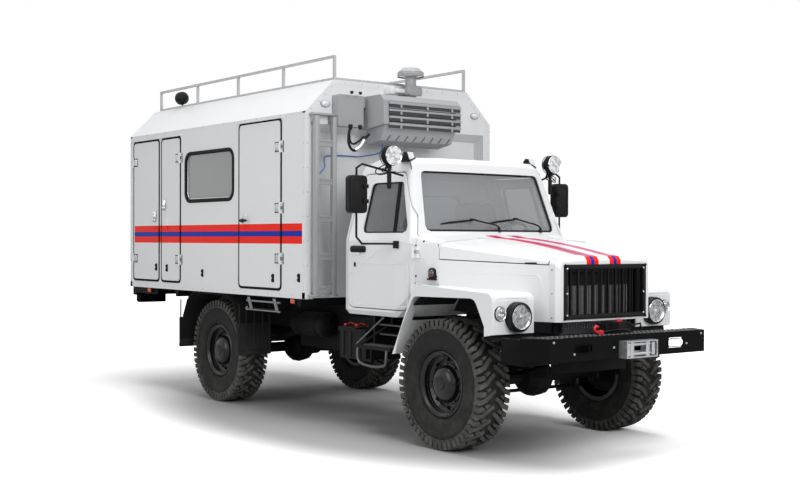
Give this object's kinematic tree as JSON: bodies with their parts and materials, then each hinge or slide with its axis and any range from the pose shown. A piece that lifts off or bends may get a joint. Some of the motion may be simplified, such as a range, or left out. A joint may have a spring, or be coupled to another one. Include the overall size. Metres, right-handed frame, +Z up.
{
  "type": "mobile workshop truck",
  "caption": "Bonneted four-wheel-drive truck with a box workshop body, opening doors, steered front wheels, roof rack, ladder, winch bumper and a roof cooling unit.",
  "frame": {"origin": "on the ground under the middle of the truck's length and width", "axes": "+X towards the truck's front bumper, +Y to its left side, +Z up"},
  "size_m": [6.9204, 2.656, 3.485],
  "materials": {
    "white_paint": "gloss",
    "black_paint": "satin",
    "cast_iron": "matte",
    "galvanised_steel": "satin",
    "grey_plastic": "matte",
    "dash_plastic": "matte",
    "seat_cloth": "matte",
    "black_rubber": "matte",
    "tyre_rubber": "matte",
    "window_glass": "gloss",
    "blue_jacket": "satin"
  },
  "bodies": {
    "truck": {"blue_cable": "blue_jacket", "cab_rear_glass": "window_glass", "cab_shell": "white_paint", "chassis_frame": "black_paint", "condenser": "grey_plastic", "dashboard": "dash_plastic", "driveline": "cast_iron", "engine": "cast_iron", "entry_step": "galvanised_steel", "exhaust": "cast_iron", "fairlead": "galvanised_steel", "fascia": "white_paint", "front_axle": "cast_iron", "front_bumper": "black_paint", "fuel_tank": "black_paint", "grille": "black_paint", "headlamp_left": "black_paint", "headlamp_right": "black_paint", "ladder": "galvanised_steel", "mudguard_left": "black_paint", "mudguard_right": "black_paint", "radiator": "cast_iron", "rear_axle": "cast_iron", "rear_bar": "black_paint", "roof_rack": "galvanised_steel", "roof_vent": "galvanised_steel", "seats": "seat_cloth", "step_left": "black_paint", "step_right": "black_paint", "van_shell": "white_paint", "van_window_left": "window_glass", "van_window_right": "window_glass", "winch": "black_paint", "windscreen": "window_glass", "wing_left": "white_paint", "wing_right": "white_paint"},
    "right_knuckle": {"knuckle_right": "cast_iron"},
    "left_knuckle": {"knuckle_left": "cast_iron"},
    "track_rod": {"tie_rod": "cast_iron"},
    "front_right_wheel": {"wheel_front_right": "black_paint", "tyre_front_right": "tyre_rubber"},
    "front_left_wheel": {"wheel_front_left": "black_paint", "tyre_front_left": "tyre_rubber"},
    "rear_right_wheel": {"wheel_rear_right": "black_paint", "tyre_rear_right": "tyre_rubber"},
    "rear_left_wheel": {"wheel_rear_left": "black_paint", "tyre_rear_left": "tyre_rubber"},
    "right_cab_door": {"cab_door_right": "white_paint", "door_glass_right": "window_glass", "mirror_right": "black_paint"},
    "left_cab_door": {"cab_door_left": "white_paint", "door_glass_left": "window_glass", "mirror_left": "black_paint"},
    "hand_wheel": {"steering_wheel": "black_rubber"},
    "engine_bonnet": {"bonnet": "white_paint"},
    "van_side_door": {"side_door": "white_paint"},
    "rear_locker_door": {"locker_door_rear": "white_paint"},
    "front_locker_door": {"locker_door_front": "white_paint"},
    "right_rear_door": {"rear_door_right": "white_paint"},
    "left_rear_door": {"rear_door_left": "white_paint"}
  },
  "joints": [
    {"name": "steer_right", "type": "hinge", "parent": "truck", "child": "right_knuckle", "pos_m": [2.2498, -0.8, 0.542], "axis": [0, 0, 1], "range_deg": [-28, 28]},
    {"name": "steer_left", "type": "hinge", "parent": "truck", "child": "left_knuckle", "pos_m": [2.2498, 0.8, 0.542], "axis": [0, 0, 1], "range_deg": [-28, 28]},
    {"name": "track_rod_swing", "type": "hinge", "parent": "right_knuckle", "child": "track_rod", "pos_m": [1.9998, -0.72, 0.437], "axis": [0, 0, 1], "range_deg": [-31, 31]},
    {"name": "front_right_wheel_spin", "type": "hinge", "parent": "right_knuckle", "child": "front_right_wheel", "pos_m": [2.2498, -0.91, 0.542], "axis": [0, 1, 0], "continuous": true},
    {"name": "front_left_wheel_spin", "type": "hinge", "parent": "left_knuckle", "child": "front_left_wheel", "pos_m": [2.2498, 0.91, 0.542], "axis": [0, 1, 0], "continuous": true},
    {"name": "rear_right_wheel_spin", "type": "hinge", "parent": "truck", "child": "rear_right_wheel", "pos_m": [-1.5202, -0.885, 0.542], "axis": [0, 1, 0], "continuous": true},
    {"name": "rear_left_wheel_spin", "type": "hinge", "parent": "truck", "child": "rear_left_wheel", "pos_m": [-1.5202, 0.885, 0.542], "axis": [0, 1, 0], "continuous": true},
    {"name": "hand_wheel_turn", "type": "hinge", "parent": "truck", "child": "hand_wheel", "pos_m": [1.3899, 0.45, 1.74], "axis": [-0.669, 0, 0.7433], "range_deg": [-420, 420]},
    {"name": "right_cab_door_hinge", "type": "hinge", "parent": "truck", "child": "right_cab_door", "pos_m": [1.7698, -0.962, 1.045], "axis": [0, 0, 1], "range_deg": [0, 65]},
    {"name": "left_cab_door_hinge", "type": "hinge", "parent": "truck", "child": "left_cab_door", "pos_m": [1.7698, 0.962, 1.045], "axis": [0, 0, -1], "range_deg": [0, 65]},
    {"name": "bonnet_hinge", "type": "hinge", "parent": "truck", "child": "engine_bonnet", "pos_m": [2.0538, 0, 1.75], "axis": [0, -1, 0], "range_deg": [0, 55]},
    {"name": "side_door_hinge", "type": "hinge", "parent": "truck", "child": "van_side_door", "pos_m": [-0.0602, -1.163, 1.245], "axis": [0, 0, 1], "range_deg": [0, 170]},
    {"name": "rear_locker_hinge", "type": "hinge", "parent": "truck", "child": "rear_locker_door", "pos_m": [-3.3352, -1.163, 1.255], "axis": [0, 0, -1], "range_deg": [0, 100]},
    {"name": "front_locker_hinge", "type": "hinge", "parent": "truck", "child": "front_locker_door", "pos_m": [-2.1601, -1.163, 1.255], "axis": [0, 0, 1], "range_deg": [0, 170]},
    {"name": "right_rear_door_hinge", "type": "hinge", "parent": "truck", "child": "right_rear_door", "pos_m": [-3.4491, -0.8, 1.26], "axis": [0, 0, 1], "range_deg": [0, 170]},
    {"name": "left_rear_door_hinge", "type": "hinge", "parent": "truck", "child": "left_rear_door", "pos_m": [-3.4491, 0.8, 1.26], "axis": [0, 0, -1], "range_deg": [0, 170]}
  ],
  "couplings": [
    {"joint": "steer_left", "follows": "steer_right", "ratio": 1},
    {"joint": "track_rod_swing", "follows": "steer_right", "ratio": -1.105},
    {"joint": "hand_wheel_turn", "follows": "steer_right", "ratio": 15}
  ]
}
